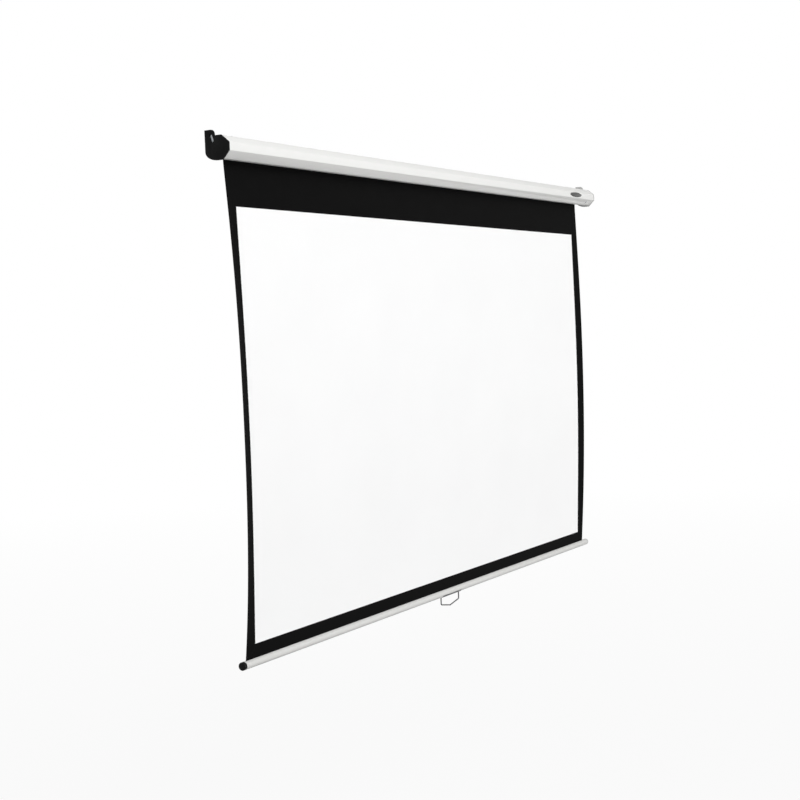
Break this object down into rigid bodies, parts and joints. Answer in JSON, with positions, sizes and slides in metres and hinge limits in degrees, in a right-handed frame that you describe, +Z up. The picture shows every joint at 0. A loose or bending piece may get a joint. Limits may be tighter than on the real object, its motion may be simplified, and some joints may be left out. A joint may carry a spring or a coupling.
{
  "type": "pull down projector screen",
  "caption": "Pull-down projector screen hanging open from a white wall case, with a round weight bar and a wire pull handle.",
  "frame": {"origin": "on the wall face of the case, halfway along it and halfway up it", "axes": "+X along the case towards the ratchet end, on the viewer's right; +Y from the screen into the wall; +Z up"},
  "size_m": [2.424, 0.0837, 1.5544],
  "materials": {
    "white_paint": "smooth satin powder coat",
    "black_plastic": "moulded black, fine grain",
    "pale_plastic": "moulded pale grey, fine grain",
    "zinc_steel": "zinc plated",
    "mill_aluminium": "mill finish tube",
    "spring_steel": "oiled spring wire",
    "nylon": "natural nylon",
    "screen_white": "matte white vinyl on glass cloth, black masking border and back",
    "masking_black": "matte black vinyl",
    "badge_plastic": "glossy dark label, bare",
    "handle_steel": "dark grey plated wire and strip"
  },
  "bodies": {
    "case": {"case_shell": "white_paint", "left_end_cap": "black_plastic", "right_end_cap": "pale_plastic", "left_hanger_plate": "zinc_steel", "right_hanger_plate": "zinc_steel", "badge": "badge_plastic", "left_cap_screw_top": "zinc_steel", "right_cap_screw_top": "zinc_steel", "right_cap_screw_front": "zinc_steel", "left_bracket": "zinc_steel", "right_bracket": "zinc_steel", "left_bracket_screw_back": "zinc_steel", "left_bracket_screw_fore": "zinc_steel", "right_bracket_screw_back": "zinc_steel", "right_bracket_screw_fore": "zinc_steel", "spring_rod": "zinc_steel", "ratchet_wheel": "zinc_steel", "spring_collar": "nylon", "motor_spring": "spring_steel"},
    "roller": {"roller_tube": "mill_aluminium", "fabric_roll": "masking_black", "idler_plug": "nylon", "idler_pin": "zinc_steel", "ratchet_housing": "zinc_steel", "spring_plug": "nylon", "pawl_pin_a": "spring_steel", "pawl_pin_b": "spring_steel"},
    "pawl_a": {"pawl_a": "zinc_steel"},
    "pawl_b": {"pawl_b": "zinc_steel"},
    "bar": {"screen_fabric": "screen_white", "bar_tube": "white_paint", "bar_cap_left": "black_plastic", "bar_cap_right": "pale_plastic", "hem_rod": "nylon", "handle_bracket": "handle_steel", "handle_screw_left": "zinc_steel", "handle_screw_right": "zinc_steel"},
    "handle": {"handle": "handle_steel"}
  },
  "joints": [
    {"name": "bar_slide", "type": "slide", "parent": "case", "child": "bar", "axis": [0, 0, 1], "range_m": [0, 1.416], "deforming": ["screen_fabric"]},
    {"name": "roller_turn", "type": "hinge", "parent": "case", "child": "roller", "pos_m": [0, -0.04885, 0.001], "axis": [1, 0, 0], "range_deg": [0, 3600.5]},
    {"name": "pawl_a_swing", "type": "hinge", "parent": "roller", "child": "pawl_a", "pos_m": [1.1854, -0.04163, 0.0135], "axis": [1, 0, 0], "range_deg": [-36, 14]},
    {"name": "pawl_b_swing", "type": "hinge", "parent": "roller", "child": "pawl_b", "pos_m": [1.1854, -0.05606, -0.0115], "axis": [1, 0, 0], "range_deg": [0, 49]},
    {"name": "handle_swing", "type": "hinge", "parent": "bar", "child": "handle", "pos_m": [0, -0.028, -1.46195], "axis": [1, 0, 0], "range_deg": [-50, 50]}
  ],
  "couplings": [
    {"joint": "roller_turn", "follows": "bar_slide", "rad_per_m": 44.373}
  ]
}
